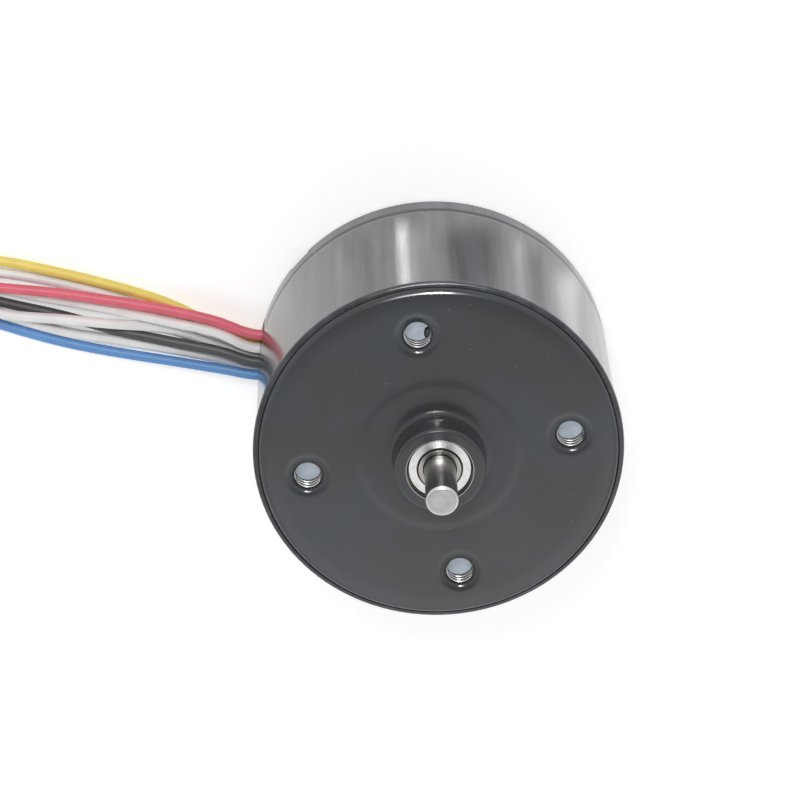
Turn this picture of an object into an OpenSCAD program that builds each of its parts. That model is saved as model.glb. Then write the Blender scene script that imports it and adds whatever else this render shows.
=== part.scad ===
// Micro brushless motor, 35 mm class, with its eight flying leads and their plug.
// Millimetres. The shaft points up +Z and the motor stands on its rear cover at z = 0.

/* [Case] */
// Outer radius of the can's wall and of the rear band
can_r = 17.2; // [16.5:0.1:22]
// Wall thickness of the can
can_wall = 0.9; // [0.7:0.05:1.2]
// Height from the base to the front face
case_h = 21.2; // [21:0.1:30]
// Height of the rear cover's visible band
band_h = 2.6; // [2.6:0.1:3.4]
// How far the front lip stands out from the wall
lip_out = 0.3; // [0.1:0.05:0.6]
// Height of the front lip's straight side
lip_h = 0.45; // [0.3:0.05:0.8]
// Height of the hollow flare under the lip
flare_h = 0.7; // [0.4:0.1:1.2]
// Rounding of the lip's upper edge
lip_round = 0.35; // [0.1:0.05:0.4]
// How deep the lip's upper edge lies below the front face
lip_sink = 0.5; // [0.3:0.05:0.8]
// Thickness of the front cover's plate
plate_t = 1.05; // [0.9:0.05:1.4]
// Rounding of the front cover's edge
plate_round = 0.75; // [0.3:0.05:0.85]
// Thickness of the rear cover's floor
floor_t = 1; // [0.8:0.05:1.2]
// Rounding of the rear cover's lower edge
base_round = 0.45; // [0.2:0.05:0.7]
// Width of the two notches in the rear band
notch_w = 2.6; // [1.5:0.1:4]
// Depth of the notches, up from the rear edge
notch_deep = 0.8; // [0.4:0.1:2]

/* [Front face] */
// Outer radius of the bearing boss
boss_r = 4.3; // [4.1:0.05:4.8]
// Height of the boss above the front face
boss_h = 3.4; // [3.2:0.1:4.5]
// Rounding of the boss's upper edge
boss_round = 0.35; // [0.1:0.05:0.6]
// Fillet where the boss meets the face
boss_fillet = 0.65; // [0.3:0.05:1]
// Radius of the opening at the top of the boss
boss_open_r = 3.15; // [2.95:0.05:3.3]
// Thickness of the boss's inward lip
boss_lip = 0.35; // [0.25:0.05:0.6]
// Radius of the foot of the soft raised pad around the boss
pad_foot_r = 8; // [7.5:0.1:9]
// Radius of the top of that pad
pad_top_r = 7; // [6:0.1:7.3]
// Height of that pad
pad_h = 0.12; // [0.05:0.01:0.25]
// Diameter of the circle of screw holes
screw_pcd = 25; // [22:0.5:26]
// Number of screw holes
screw_n = 4; // [2:1:6]
// Radius of the threaded part of a screw hole
screw_r = 1.25; // [0.8:0.05:1.3]
// Depth of a screw hole with its inner collar
screw_depth = 1.7; // [1.3:0.05:1.8]
// Outer radius of the collar round a screw hole
collar_r = 2.1; // [1.9:0.05:2.4]
// How far a screw hole widens at the face
screw_flare = 0.2; // [0.05:0.05:0.35]
// Depth over which it widens
screw_flare_h = 0.5; // [0.2:0.05:0.8]

/* [Shaft and bearings] */
// Radius of the shaft
shaft_r = 1.5; // [1.2:0.05:1.6]
// Length of shaft that stands above the front face
shaft_out = 9.7; // [5:0.1:20]
// Chamfer at the shaft's ends
shaft_chamfer = 0.22; // [0.05:0.01:0.4]
// Outer radius of a bearing
bearing_r = 3.5; // [3.4:0.05:3.7]
// Width of a bearing
bearing_w = 3; // [2.5:0.1:3.1]
// Inner ring's thickness as a share of the space between shaft and bearing radius
ring_in_share = 0.275; // [0.22:0.005:0.29]
// Outer ring's thickness as a share of that space
ring_out_share = 0.3; // [0.22:0.005:0.31]
// Ball's radius as a share of that space
ball_share = 0.3; // [0.25:0.01:0.31]
// Number of balls in a bearing
ball_n = 7; // [5:1:7]
// Thickness of a bearing shield
shield_t = 0.18; // [0.1:0.01:0.22]

/* [Stator and rotor] */
// Height of the stator core
core_h = 8; // [6:0.5:8]
// Number of stator teeth
tooth_n = 9; // [9:3:9]
// Width of a stator tooth
tooth_w = 3; // [2:0.1:3.2]
// Radial thickness of the stator's yoke
yoke_t = 1.6; // [1.2:0.1:1.8]
// Outer radius of the rotor magnet as a share of the can's inner radius
magnet_share = 0.497; // [0.45:0.001:0.5]
// Radial thickness of the rotor magnet
magnet_t = 2.5; // [1.5:0.1:3]
// Gap between the magnet and the teeth
air_gap = 0.4; // [0.3:0.05:0.6]
// Thickness of a winding beside its tooth
winding_t = 1.25; // [0.8:0.05:1.3]
// Thickness of the circuit board
board_t = 0.8; // [0.6:0.1:1]

/* [Leads] */
// Radius of one insulated lead
wire_r = 0.5; // [0.4:0.05:0.5]
// Spacing of the upper row of leads at the grommet
row_top_pitch = 1.45; // [1.1:0.05:1.5]
// Spacing of the lower row of leads at the grommet
row_low_pitch = 1.1; // [1.1:0.05:1.3]
// Height of the upper row of leads at the grommet
row_top_z = 1.9; // [1.9:0.05:2.1]
// Height of the lower row of leads at the grommet
row_low_z = 0.8; // [0.7:0.05:0.8]
// Spacing of the plug's ways
way_pitch = 1.25; // [1.2:0.05:1.5]

/* [Hidden] */
// Seating and running clearances
seat = 0.05;
loose = 0.1;
film_gap = 0.3;
shield_gap = 0.06;
race_gap = 0.03;
cage_gap = 0.04;
wire_fit = 0.02;
// One overrun serves all cuts
over = 1;
$fn = 96;
// Steps of a rounded edge in an outline
round_steps = 8;

// Rear cover, from the base up
pocket_floor_t = 0.7;
washer_h = 0.5;
washer_t = 0.2;
spigot_h = 1.2;
spigot_t = 0.85;
hub_r = boss_r;
hub_over = 0.2;
rear_open_r = 2.5;
notch_angle = 130;
rear_bearing_z = pocket_floor_t + washer_h;
hub_top = rear_bearing_z + bearing_w + hub_over;
can_in_r = can_r - can_wall;
spigot_r = can_in_r - seat;
spigot_in_r = spigot_r - spigot_t;

// Can and front cover, down from the face
lip_r = can_r + lip_out;
plate_z = case_h - plate_t;
plate_step = 0.2;
plate_r = can_r - plate_step;
recess_r = plate_r + seat;
lip_top = case_h - lip_sink;
skirt_t = 0.8;
skirt_h = 1.75;
front_bearing_z = case_h + boss_h - boss_lip - bearing_w;

// Board
board_z = band_h + spigot_h;
board_top = board_z + board_t;
board_r = spigot_r - loose;
board_hub_gap = 0.6;
board_in_r = hub_r + board_hub_gap;
film_t = 0.3;

// Stator, rotor and their insulation
core_z = 7.6;
core_top = core_z + core_h;
magnet_r = can_in_r * magnet_share;
shoe_r = magnet_r + air_gap;
shoe_t = 0.9;
shoe_gap = 1.2;
liner_t = 0.4;
cap_t = 0.5;
bobbin_away = 1.1;
bobbin_ring_r = can_in_r - bobbin_away;
bobbin_ring_t = 0.8;
bobbin_front_h = 3.3;
flange_w = 5;
flange_h = 2;
flange_r = shoe_r + shoe_t;
winding_in_r = flange_r + liner_t + seat;
winding_w = tooth_w + 2 * (liner_t + seat + winding_t);
winding_out_r = sqrt(pow(bobbin_ring_r - bobbin_ring_t - loose, 2) - pow(winding_w / 2, 2));
magnet_over = 0.6;
disc_t = 0.4;
disc_hub_gap = 1.2;
disc_in_r = boss_r + disc_hub_gap;
disc_r = bobbin_ring_r + loose;
rotor_core_in = 0.2;
spacer_t = 0.6;
// Grinding neck at the foot of the shaft's free end
neck_w = 0.6;
neck_deep = 0.17;
neck_over = 0.1;

magnet_low = core_z - magnet_over;
magnet_high = core_top + magnet_over;

// Ball bearings
race_space = bearing_r - shaft_r;
ball_pitch_r = shaft_r + race_space / 2;
ball_r = race_space * ball_share;
ring_in_r = shaft_r + race_space * ring_in_share;
ring_out_r = bearing_r - race_space * ring_out_share;
shield_sink = 0.12;
ring_ease = 0.1;
ring_bevel = 0.2;
cage_t = 0.3;
cage_rim = 0.16;
cage_h = 2 * (ball_r + cage_gap + cage_rim);

// Grommet, pins and solder
exit_angle = 165;
slot_w = 6.2;
block_depth = 4.5;
block_in_r = can_r - block_depth;
pin_r = 0.2;
pin_top_depth = 3.3;
pin_low_depth = 4.2;
pin_over = 0.3;
solder_r = 0.38;
solder_h = 0.25;
row_low_shift = 0.25;
winding_pin_r = 0.25;
winding_pin_ring = bobbin_ring_r - bobbin_ring_t / 2;
winding_pin_deep = 1.5;

// Chips and sensors on the board
chip = [2, 1.2, 0.6];
chip_away = 2.7;
chip_r = block_in_r - chip_away;
chip_n = 6;
sensor = [1.5, 3, 1.1];
sensor_away = 0.9;
sensor_r = magnet_r - sensor_away;
sensor_n = 3;

// Plug and tie
lead_n = 8;
row_n = 4;
plug_side = 1.2;
plug_l = 6;
plug_h = 3.4;
plug = [plug_l, lead_n * way_pitch + 2 * plug_side, plug_h];
plug_z = 1.7;
plug_away = 18;
plug_bore_deep = 1.6;
contact_w = 0.6;
contact_l = 3.8;
contact_gap = 0.05;
rib_w = 1;
rib_h = 0.5;
tie_w = 1.6;
tie_t = 0.2;
tie_slack = 0.12;
tie_turn_share = 0.27;

// Coil of the bundle: seven leads round one, wound inward and then over itself
round_n = lead_n - 1;
// Place that stands for the bundle's core
core_place = -9;
coil_centre = [-58, 13];
coil_z = 2.25;
coil_r = 8.8;
coil_step = 3.95;
coil_rise = 4.5;
coil_start = 67;
coil_turns = 2.25;
coil_rings = 24;
bundle_pitch = 1.22;
bundle_r = bundle_pitch / 2 / sin(180 / round_n);
twist_ease_share = 0.25;
// Turns after which the bundle moves inward, starts to climb, and the turns it climbs for
coil_in_share = 0.5;
coil_up_share = 1.25;
coil_rise_share = 0.7;
tiny_share = 0.01;
lead_in = 1.2;

// Leads: place in the grommet [column, row], place round the bundle, way in the plug
yellow = [0, 0, -2, 7];
red = [0, 1, 0, 4];
black = [2, 1, core_place, 3];
blue = [3, 1, 2, 0];
white_a = [1, 1, -3, 5];
white_b = [2, 0, 1, 1];
white_c = [3, 0, 3, 2];
white_d = [1, 0, -1, 6];
whites = [white_a, white_b, white_c, white_d];
leads = [yellow, red, black, blue, white_a, white_b, white_c, white_d];

// Routes of the leads over the table, from the grommet to the coil
yellow_route = [[-20, 7.7, 0.75], [-25, 11.2, 0.55], [-30, 13.9, 0.55], [-35, 16.2, 0.55],
    [-40, 18.2, 0.6], [-45, 19.4, 0.8], [-50, 20.5, 1.4]];
red_route = [[-20, 8.7, 1.9], [-25, 10.9, 1.8], [-30, 12.7, 1.75], [-35, 14.4, 1.8],
    [-40, 15.9, 2], [-45, 17.6, 2.5], [-50, 19.1, 3.2]];
black_route = [[-20, 5.3, 1.8], [-25, 7.1, 1.2], [-30, 8.9, 0.6], [-35, 11.4, 0.55],
    [-40, 13.7, 0.8], [-45, 16.3, 1.2], [-50, 19, 1.9]];
blue_route = [[-20, 3.3, 1.7], [-25, 4.9, 1.2], [-30, 6.5, 0.8], [-35, 8.4, 0.6],
    [-40, 10.9, 0.6], [-45, 14, 0.9], [-50, 17.3, 1.5]];
white_a_route = [[-20, 7.4, 1.9], [-25, 9.5, 1.6], [-30, 11.3, 0.9], [-35, 13.1, 0.6],
    [-40, 15.1, 0.6], [-45, 17.4, 0.6], [-50, 19.6, 0.75]];
white_b_route = [[-20, 5.2, 0.65], [-25, 8.2, 0.65], [-30, 10, 1.5], [-35, 11.5, 1.7],
    [-40, 13, 2], [-45, 15.4, 2.2], [-50, 17.9, 2.7]];
white_c_route = [[-20, 3.9, 0.7], [-25, 5.9, 0.55], [-30, 7.8, 0.55], [-35, 9.6, 0.55],
    [-40, 12.2, 0.55], [-45, 15.2, 0.6], [-50, 18.2, 0.75]];
white_d_route = [[-20, 6.4, 0.65], [-25, 9.8, 0.55], [-30, 12.7, 0.55], [-35, 15, 0.55],
    [-40, 17, 0.8], [-45, 18.5, 1.5], [-50, 20.1, 2.6]];
white_routes = [white_a_route, white_b_route, white_c_route, white_d_route];
// How far the leads run straight out of the grommet
wire_straight = 0.4;
// Tails: way along to the plug, share of the fan, height over the table, share of the bundle's height
tail_away = [5, 10, 15, 17];
tail_fan_share = [0.1, 0.55, 1, 1];
tail_z = [0, 1.5, 4.5, 5.05];
tail_keep_share = [1, 0.9, 0.3, 0];

// Arc of an outline round c from angle a to b
function arc(c, r, a, b) =
    [for (i = [0 : round_steps]) c + r * [cos(a + (b - a) * i / round_steps),
        sin(a + (b - a) * i / round_steps)]];

// Unit vector, bearing and smooth step
function unit(v) = v / norm(v);
function bearing(a) = [cos(a), sin(a), 0];
function smooth(x) = let(k = min(max(x, 0), 1)) k * k * (3 - 2 * k);

// Curve through points p, n steps to a span
function slope_at(p, i) =
    i == 0 ? unit(p[1] - p[0])
    : i == len(p) - 1 ? unit(p[i] - p[i - 1])
    : let(a = norm(p[i] - p[i - 1]), b = norm(p[i + 1] - p[i]))
        (b * (p[i] - p[i - 1]) / a + a * (p[i + 1] - p[i]) / b) / (a + b);
function span_point(p, i, s) =
    let(d = norm(p[i + 1] - p[i]))
    (1 + 2 * s) * pow(1 - s, 2) * p[i] + s * pow(1 - s, 2) * d * slope_at(p, i)
    + s * s * (3 - 2 * s) * p[i + 1] + s * s * (s - 1) * d * slope_at(p, i + 1);
function curve(p, n) =
    [for (i = [0 : len(p) - 2], k = [0 : n - 1]) span_point(p, i, k / n), p[len(p) - 1]];

// Direction of a path at its point i
function heading(path, i) =
    i == 0 ? unit(path[1] - path[0])
    : i == len(path) - 1 ? unit(path[i] - path[i - 1])
    : unit(unit(path[i] - path[i - 1]) + unit(path[i + 1] - path[i]));

// Tube of a given number of sides along a path
module tube(path, r, sides) {
    rings = len(path);
    points = [for (i = [0 : rings - 1])
        let(h = heading(path, i), s = unit(cross(h, [0, 0, 1])), u = cross(s, h))
        for (k = [0 : sides - 1])
            path[i] + r * (cos(360 * k / sides) * s + sin(360 * k / sides) * u)];
    walls = [for (i = [0 : rings - 2], k = [0 : sides - 1])
        let(a = i * sides + k, b = i * sides + (k + 1) % sides)
        each [[a, b, b + sides], [a, b + sides, a + sides]]];
    ends = [for (k = [1 : sides - 2])
        each [[0, k + 1, k], (rings - 1) * sides * [1, 1, 1] + [0, k, k + 1]]];
    polyhedron(points, concat(walls, ends));
}

// Place of a lead in the grommet, at distance r from the axis
function slot_side(lead) =
    lead[1] == 1 ? (lead[0] - (row_n - 1) / 2) * row_top_pitch
    : (lead[0] - (row_n - 1) / 2) * row_low_pitch + row_low_shift;
function slot_z(lead) = lead[1] == 1 ? row_top_z : row_low_z;
function slot_point(lead, r) =
    r * bearing(exit_angle) + slot_side(lead) * bearing(exit_angle + 90) + [0, 0, slot_z(lead)];
function pin_ring(lead) = can_r - (lead[1] == 1 ? pin_top_depth : pin_low_depth);

// Middle of the bundle in the coil at turn t, and how far it has twisted there
function coil_middle(t) =
    let(inward = smooth((t - coil_in_share) / (1 - coil_in_share)),
        up = smooth((t - coil_up_share) / coil_rise_share))
    [coil_centre[0], coil_centre[1], coil_z + coil_rise * up]
    + (coil_r - coil_step * inward) * bearing(coil_start + 360 * t);
function twist(t) =
    t < twist_ease_share ? 180 * t * t / twist_ease_share
    : t > coil_turns - twist_ease_share
        ? 360 * (coil_turns - twist_ease_share) - 180 * pow(coil_turns - t, 2) / twist_ease_share
    : 360 * (t - twist_ease_share / 2);
function coil_point(lead, t) =
    let(out = bearing(coil_start + 360 * t),
        run = unit(coil_middle(t + tiny_share) - coil_middle(t)),
        up = unit(cross(out, run)),
        a = 90 + 360 / round_n * lead[2] + twist(t),
        r = lead[2] == core_place ? 0 : bundle_r)
    coil_middle(t) + r * (cos(a) * out + sin(a) * up);
in_run = bearing(coil_start + 90);
out_angle = coil_start + 360 * coil_turns;
out_run = bearing(out_angle + 90);
plug_origin = [coil_centre[0], coil_centre[1], 0] + (coil_r - coil_step) * bearing(out_angle)
    + plug_away * out_run;

// Path of a lead from its pin in the grommet to the coil, round the coil, and on to the plug
function free_path(lead, route) =
    concat([slot_point(lead, pin_ring(lead) + pin_r)],
        curve(concat([slot_point(lead, can_r), slot_point(lead, can_r + wire_straight)], route,
            [coil_point(lead, 0) - 2 * lead_in * in_run, coil_point(lead, 0) - lead_in * in_run]), 2));
function coil_path(lead) =
    concat([coil_point(lead, 0) - lead_in * in_run],
        [for (i = [0 : coil_turns * coil_rings]) coil_point(lead, i / coil_rings)],
        [coil_point(lead, coil_turns) + lead_in * out_run]);
function way_point(lead) =
    plug_origin + (lead[3] - (lead_n - 1) / 2) * way_pitch * bearing(out_angle) + [0, 0, plug_z];
function tail_point(lead, i) =
    let(from = coil_point(lead, coil_turns) + tail_away[i] * out_run,
        to = way_point(lead) + (tail_away[i] - plug_away) * out_run,
        f = tail_fan_share[i],
        lift = coil_point(lead, coil_turns)[2] - coil_z - coil_rise,
        flat = (1 - f) * from + f * to)
    [flat[0], flat[1],
        max(plug_z, coil_z + coil_rise - tail_z[i]) + tail_keep_share[i] * lift];
function tail_path(lead) =
    curve(concat([coil_point(lead, coil_turns) + lead_in * out_run],
        [for (i = [0 : len(tail_away) - 1]) tail_point(lead, i)],
        [way_point(lead) + plug_bore_deep * out_run]), 2);

// Least gap of a lead's coil to itself, on its points, leaving out its near neighbours
function self_gap(path) =
    min([for (i = [0 : len(path) - 1], j = [i + coil_rings / 4 : len(path) - 1])
        norm(path[i] - path[j])]) - 2 * wire_r;
for (lead = leads)
    echo(coil_gap = self_gap(coil_path(lead)));

// Annular ring between two radii and two heights
module ring(r_in, r_out, z_low, z_high) {
    translate([0, 0, z_low])
        difference() {
            cylinder(r = r_out, h = z_high - z_low);
            translate([0, 0, -over])
                cylinder(r = r_in, h = z_high - z_low + 2 * over);
        }
}

// Rounded rectangle centred on the origin
module round_box(w, h, r) {
    square([w - 2 * r, h], center = true);
    square([w, h - 2 * r], center = true);
    for (x = [-1, 1], y = [-1, 1])
        translate([x * (w / 2 - r), y * (h / 2 - r)])
            circle(r = r, $fn = 32);
}

module at_screws() {
    for (i = [0 : screw_n - 1])
        rotate(360 / screw_n * i)
            translate([screw_pcd / 2, 0, 0])
                children();
}

module at_teeth() {
    for (i = [0 : tooth_n - 1])
        rotate(360 / tooth_n * i)
            children();
}

module front_cover() {
    pad_edge = [for (i = [0 : round_steps])
        let(f = i / round_steps)
        [pad_foot_r - (pad_foot_r - pad_top_r) * f, case_h + pad_h * smooth(f)]];
    fillet_edge = arc([boss_r + boss_fillet, case_h + pad_h + boss_fillet], boss_fillet, 270, 180);
    top_z = case_h + boss_h;
    outline = concat(
        [[bearing_r, plate_z]],
        [[can_in_r - seat - skirt_t, plate_z], [can_in_r - seat - skirt_t, plate_z - skirt_h],
            [spigot_r, plate_z - skirt_h], [spigot_r, plate_z], [plate_r, plate_z]],
        arc([plate_r - plate_round, case_h - plate_round], plate_round, 0, 90),
        pad_edge, fillet_edge,
        arc([boss_r - boss_round, top_z - boss_round], boss_round, 0, 90),
        [[boss_open_r, top_z], [boss_open_r, top_z - boss_lip], [bearing_r, top_z - boss_lip]]);
    lead_in_edge = [for (i = [0 : round_steps])
        let(a = 90 * i / round_steps)
        [screw_r + screw_flare * (1 - cos(a)), case_h - screw_flare_h * (1 - sin(a))]];
    color("#3c3d42")
        difference() {
            union() {
                rotate_extrude()
                    polygon(outline);
                at_screws()
                    translate([0, 0, case_h - screw_depth])
                        cylinder(r = collar_r, h = screw_depth - plate_t / 2);
            }
            at_screws() {
                translate([0, 0, case_h - screw_depth - over])
                    cylinder(r = screw_r, h = screw_depth + 2 * over);
                rotate_extrude()
                    polygon(concat([[0, case_h - screw_flare_h]], lead_in_edge,
                        [[screw_r + screw_flare, case_h + over], [0, case_h + over]]));
            }
        }
}

module motor_can() {
    flare_z = lip_top - lip_round - lip_h;
    flare_edge = [for (i = [0 : round_steps])
        let(a = 90 * i / round_steps)
        [can_r + lip_out * (1 - cos(a)), flare_z - flare_h * (1 - sin(a))]];
    color("#43454b")
        rotate_extrude()
            polygon(concat(
                [[can_in_r, band_h], [can_r, band_h]],
                flare_edge,
                arc([lip_r - lip_round, lip_top - lip_round], lip_round, 0, 90),
                [[recess_r, lip_top], [recess_r, plate_z], [can_in_r, plate_z]]));
}

module rear_cover() {
    color("#3f4046")
        difference() {
            rotate_extrude()
                polygon(concat(
                    [[rear_open_r, 0]],
                    arc([can_r - base_round, base_round], base_round, 270, 360),
                    [[can_r, band_h], [spigot_r, band_h], [spigot_r, board_z],
                        [spigot_in_r, board_z], [spigot_in_r, floor_t], [hub_r, floor_t],
                        [hub_r, hub_top], [bearing_r, hub_top], [bearing_r, pocket_floor_t],
                        [rear_open_r, pocket_floor_t]]));
            for (side = [0, 180])
                rotate(notch_angle + side)
                    translate([can_in_r, -notch_w / 2, -over])
                        cube([can_wall + over, notch_w, notch_deep + over]);
            rotate(exit_angle)
                translate([block_in_r, -slot_w / 2, -over])
                    cube([can_r - block_in_r + over, slot_w, band_h + over]);
        }
}

module front_insulator() {
    color("#c9d4dd")
        ring(disc_in_r, disc_r, core_top + bobbin_front_h, core_top + bobbin_front_h + disc_t);
}

module rear_insulator() {
    color("#d9d2b8")
        ring(hub_r + film_gap, block_in_r - film_gap, floor_t, floor_t + film_t);
}

module stator_core() {
    shoe_w = 2 * shoe_r * sin(180 / tooth_n) - shoe_gap;
    color("#8a8d92") {
        ring(can_in_r - yoke_t, can_in_r, core_z, core_top);
        at_teeth()
            translate([0, 0, core_z])
                linear_extrude(core_h) {
                    translate([shoe_r + shoe_t / 2, -tooth_w / 2])
                        square([can_in_r - yoke_t / 2 - shoe_r - shoe_t / 2, tooth_w]);
                    intersection() {
                        difference() {
                            circle(r = shoe_r + shoe_t);
                            circle(r = shoe_r);
                        }
                        translate([0, -shoe_w / 2])
                            square([shoe_r + 2 * shoe_t, shoe_w]);
                    }
                }
    }
}

// Half of the winding former, with its outer ring standing ring_h from the core at z = 0
module bobbin(ring_h) {
    wall_w = tooth_w + 2 * liner_t;
    liner_l = can_in_r - yoke_t - seat - flange_r - liner_t;
    difference() {
        union() {
            ring(bobbin_ring_r - bobbin_ring_t, bobbin_ring_r, 0, ring_h);
            at_teeth() {
                translate([flange_r, -wall_w / 2, 0])
                    cube([bobbin_ring_r - bobbin_ring_t / 2 - flange_r, wall_w, cap_t]);
                translate([flange_r, -flange_w / 2, 0])
                    cube([liner_t, flange_w, flange_h]);
                for (side = [-1, 1])
                    translate([flange_r, side * (tooth_w + liner_t) / 2 - liner_t / 2, -core_h / 2])
                        cube([liner_l, liner_t, (core_h + cap_t) / 2]);
            }
        }
        children();
    }
}

module front_bobbin() {
    color("#e8e4d8")
        translate([0, 0, core_top])
            bobbin(bobbin_front_h);
}

module rear_bobbin() {
    color("#e8e4d8")
        translate([0, 0, core_z])
            mirror([0, 0, 1])
                bobbin(core_z - board_top)
                    at_winding_pins()
                        cylinder(r = winding_pin_r, h = core_z);
}

module at_winding_pins() {
    for (i = [-1 : 2])
        rotate(360 / tooth_n * (i + 0.5))
            translate([winding_pin_ring, 0, 0])
                children();
}

module stator_windings() {
    in_w = winding_w - 2 * winding_t;
    in_h = core_h + 2 * cap_t + 2 * seat;
    color("#b8692e")
        at_teeth()
            translate([winding_in_r, 0, core_z + core_h / 2])
                rotate([90, 0, 90])
                    linear_extrude(winding_out_r - winding_in_r)
                        difference() {
                            round_box(winding_w, in_h + 2 * winding_t, winding_t);
                            round_box(in_w, in_h, seat);
                        }
}

module circuit_board() {
    color("#1f6b45")
        difference() {
            ring(board_in_r, board_r, board_z, board_top);
            for (lead = leads)
                at_pin(lead)
                    cylinder(r = pin_r, h = case_h);
            at_winding_pins()
                cylinder(r = winding_pin_r, h = case_h);
        }
}

module hall_sensors() {
    color("#1c1c1e")
        for (i = [0 : sensor_n - 1])
            rotate(360 / sensor_n * i + 180 / tooth_n)
                translate([sensor_r - sensor[0] / 2, -sensor[1] / 2, board_top])
                    cube(sensor);
}

module board_chips() {
    color("#b59f7a")
        for (i = [0 : chip_n - 1])
            rotate(360 / chip_n * (i + 0.5))
                translate([chip_r, 0, board_z - chip[2] / 2])
                    cube(chip, center = true);
}

// Upright line of a lead's pin
module at_pin(lead) {
    translate([slot_point(lead, pin_ring(lead))[0], slot_point(lead, pin_ring(lead))[1], 0])
        children();
}

module wire_grommet() {
    color("#26272a")
        difference() {
            intersection() {
                ring(block_in_r + seat, can_r, 0, band_h);
                rotate(exit_angle)
                    translate([block_in_r, seat - slot_w / 2, 0])
                        cube([can_r - block_in_r + over, slot_w - 2 * seat, band_h]);
            }
            for (lead = leads) {
                translate(slot_point(lead, pin_ring(lead)))
                    rotate([0, 90, exit_angle])
                        cylinder(r = wire_r + wire_fit, h = can_r, $fn = 32);
                at_pin(lead)
                    translate([0, 0, slot_z(lead) - wire_r])
                        cylinder(r = pin_r, h = case_h);
            }
        }
}

module lead_pins() {
    color("#c77b3b")
        for (lead = leads)
            at_pin(lead)
                translate([0, 0, slot_z(lead) - wire_r])
                    cylinder(r = pin_r, h = board_top + pin_over - slot_z(lead) + wire_r);
}

module winding_pins() {
    color("#c9ccd0")
        at_winding_pins()
            translate([0, 0, board_z - pin_over])
                cylinder(r = winding_pin_r, h = board_t + pin_over + winding_pin_deep);
}

// Small cone of solder round a pin, standing on z = 0
module solder_cone(hole_r) {
    difference() {
        cylinder(r1 = solder_r, r2 = hole_r + seat, h = solder_h);
        translate([0, 0, -over])
            cylinder(r = hole_r, h = 2 * over + solder_h);
    }
}

module solder_joints() {
    color("#d7d9dc") {
        for (lead = leads)
            at_pin(lead)
                translate([0, 0, board_top])
                    solder_cone(pin_r);
        at_winding_pins()
            translate([0, 0, board_z])
                mirror([0, 0, 1])
                    solder_cone(winding_pin_r);
    }
}

module wave_washer() {
    in_r = rear_open_r + seat;
    out_r = bearing_r - loose;
    steps = 72;
    rise = (washer_h - washer_t) / 2;
    points = [for (i = [0 : steps - 1])
        let(a = 360 * i / steps, z = pocket_floor_t + rise * (1 + sin(3 * a)))
        for (p = [[in_r, 0], [out_r, 0], [out_r, washer_t], [in_r, washer_t]])
            [p[0] * cos(a), p[0] * sin(a), z + p[1]]];
    faces = [for (i = [0 : steps - 1], k = [0 : 3])
        let(j = (i + 1) % steps, m = (k + 1) % 4)
        each [[4 * i + k, 4 * i + m, 4 * j + m], [4 * i + k, 4 * j + m, 4 * j + k]]];
    color("#b9bcc0")
        polyhedron(points, faces);
}

// Pieces of a ball bearing that stands on z = 0
module groove() {
    translate([0, 0, bearing_w / 2])
        rotate_extrude()
            translate([ball_pitch_r, 0])
                circle(r = ball_r + race_gap, $fn = 48);
}

module outer_ring() {
    difference() {
        rotate_extrude()
            polygon([[ring_out_r, ring_bevel], [ring_out_r + ring_bevel, 0],
                [bearing_r - ring_ease, 0], [bearing_r, ring_ease],
                [bearing_r, bearing_w - ring_ease], [bearing_r - ring_ease, bearing_w],
                [ring_out_r + ring_bevel, bearing_w], [ring_out_r, bearing_w - ring_bevel]]);
        groove();
    }
}

module inner_ring() {
    difference() {
        rotate_extrude()
            polygon([[shaft_r + ring_ease, 0], [ring_in_r, 0], [ring_in_r, bearing_w],
                [shaft_r + ring_ease, bearing_w], [shaft_r, bearing_w - ring_ease],
                [shaft_r, ring_ease]]);
        groove();
    }
}

module shields() {
    for (z = [shield_sink, bearing_w - shield_sink - shield_t])
        ring(ring_in_r + shield_gap, ring_out_r, z, z + shield_t);
}

module balls() {
    for (i = [0 : ball_n - 1])
        rotate(360 / ball_n * i)
            translate([ball_pitch_r, 0, bearing_w / 2])
                sphere(r = ball_r, $fn = 48);
}

module cage() {
    difference() {
        ring(ball_pitch_r - cage_t / 2, ball_pitch_r + cage_t / 2,
            (bearing_w - cage_h) / 2, (bearing_w + cage_h) / 2);
        for (i = [0 : ball_n - 1])
            rotate(360 / ball_n * i)
                translate([ball_pitch_r - cage_t, 0, bearing_w / 2])
                    rotate([0, 90, 0])
                        cylinder(r = ball_r + cage_gap, h = 2 * cage_t, $fn = 48);
    }
}

module front_place() {
    translate([0, 0, front_bearing_z])
        children();
}

module rear_place() {
    translate([0, 0, rear_bearing_z])
        children();
}

module rotor_shaft() {
    low = pocket_floor_t + washer_t;
    high = case_h + shaft_out;
    neck = front_bearing_z + bearing_w + neck_over;
    color("#d6d8da")
        rotate_extrude()
            polygon([[0, low], [shaft_r - shaft_chamfer, low], [shaft_r, low + shaft_chamfer],
                [shaft_r, neck], [shaft_r - neck_deep, neck],
                [shaft_r - neck_deep, neck + neck_w], [shaft_r, neck + neck_w],
                [shaft_r, high - shaft_chamfer], [shaft_r - shaft_chamfer, high], [0, high]]);
}

module rotor_core() {
    color("#9a9da2")
        ring(shaft_r, magnet_r - magnet_t, magnet_low + rotor_core_in, magnet_high - rotor_core_in);
}

module rotor_magnet() {
    color("#4a4b50")
        ring(magnet_r - magnet_t, magnet_r, magnet_low, magnet_high);
}

module front_spacer() {
    color("#c8a35a")
        ring(shaft_r, shaft_r + spacer_t, magnet_high - rotor_core_in, front_bearing_z);
}

module rear_spacer() {
    color("#c8a35a")
        ring(shaft_r, shaft_r + spacer_t, rear_bearing_z + bearing_w, magnet_low + rotor_core_in);
}

module plug_place() {
    translate(plug_origin)
        rotate(out_angle + 90)
            children();
}

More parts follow.
